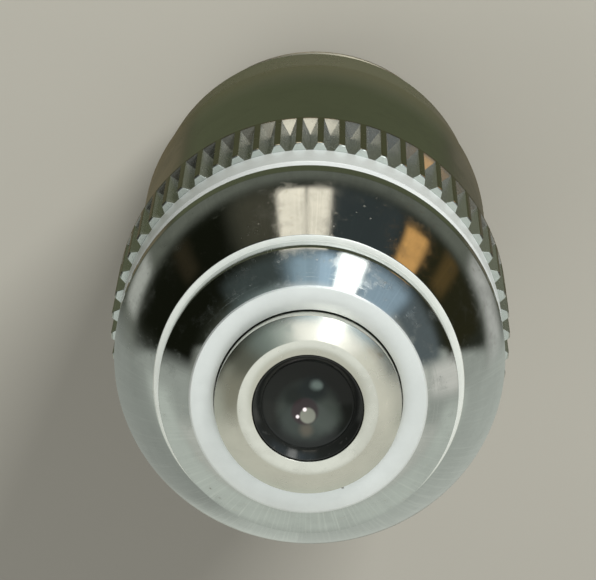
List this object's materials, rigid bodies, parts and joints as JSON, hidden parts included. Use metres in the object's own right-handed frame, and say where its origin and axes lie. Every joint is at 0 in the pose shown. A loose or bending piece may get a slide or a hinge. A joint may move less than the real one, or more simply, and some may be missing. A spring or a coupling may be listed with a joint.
{
  "type": "microscope objective",
  "caption": "Microscope objective with a threaded mount, a polished barrel, a knurled grip ring, a coned nose cap and a sprung nose that slides back with its lens stack.",
  "frame": {"origin": "centre of the mounting shoulder, on the optical axis, where the thread meets the flange", "axes": "+Z along the optical axis from the mounting thread to the nose; the guide pin lies on +X"},
  "size_m": [0.0246, 0.0246, 0.0485],
  "materials": {
    "polished_chrome": "polished, with light wear",
    "warm_nickel": "fine turned",
    "satin_chrome": "satin",
    "brass": "turned",
    "black_anodised": "matt black",
    "steel": "drawn",
    "optical_glass": "polished"
  },
  "bodies": {
    "barrel": {"mount_ring": "warm_nickel", "rear_baffle": "black_anodised", "main_tube": "brass", "barrel_sleeve": "polished_chrome", "knurled_ring": "polished_chrome", "band_ring": "satin_chrome", "nose_cap": "polished_chrome", "parfocal_ring": "brass", "lock_ring": "brass", "coil_spring": "steel"},
    "optics": {"nose_cell": "warm_nickel", "lens_tube": "brass", "front_lens_mount": "black_anodised", "front_lens_ring": "black_anodised", "front_mount_ring": "black_anodised", "meniscus_cell": "black_anodised", "meniscus_spacer": "black_anodised", "front_doublet_cell": "black_anodised", "doublet_spacer": "black_anodised", "centring_cell": "black_anodised", "rear_spacer": "black_anodised", "rear_doublet_cell": "black_anodised", "clamp_ring": "black_anodised", "guide_pin": "steel", "centring_screws": "steel", "front_lens": "optical_glass", "meniscus_lens": "optical_glass", "front_doublet_crown": "optical_glass", "front_doublet_flint": "optical_glass", "centring_doublet_crown": "optical_glass", "centring_doublet_flint": "optical_glass", "rear_doublet_crown": "optical_glass", "rear_doublet_flint": "optical_glass"}
  },
  "joints": [
    {"name": "nose_retract", "type": "slide", "parent": "barrel", "child": "optics", "axis": [0, 0, -1], "range_m": [0, 0.002], "stiffness_N_per_m": 900, "springref_m": -0.002, "deforming": ["coil_spring"]}
  ]
}
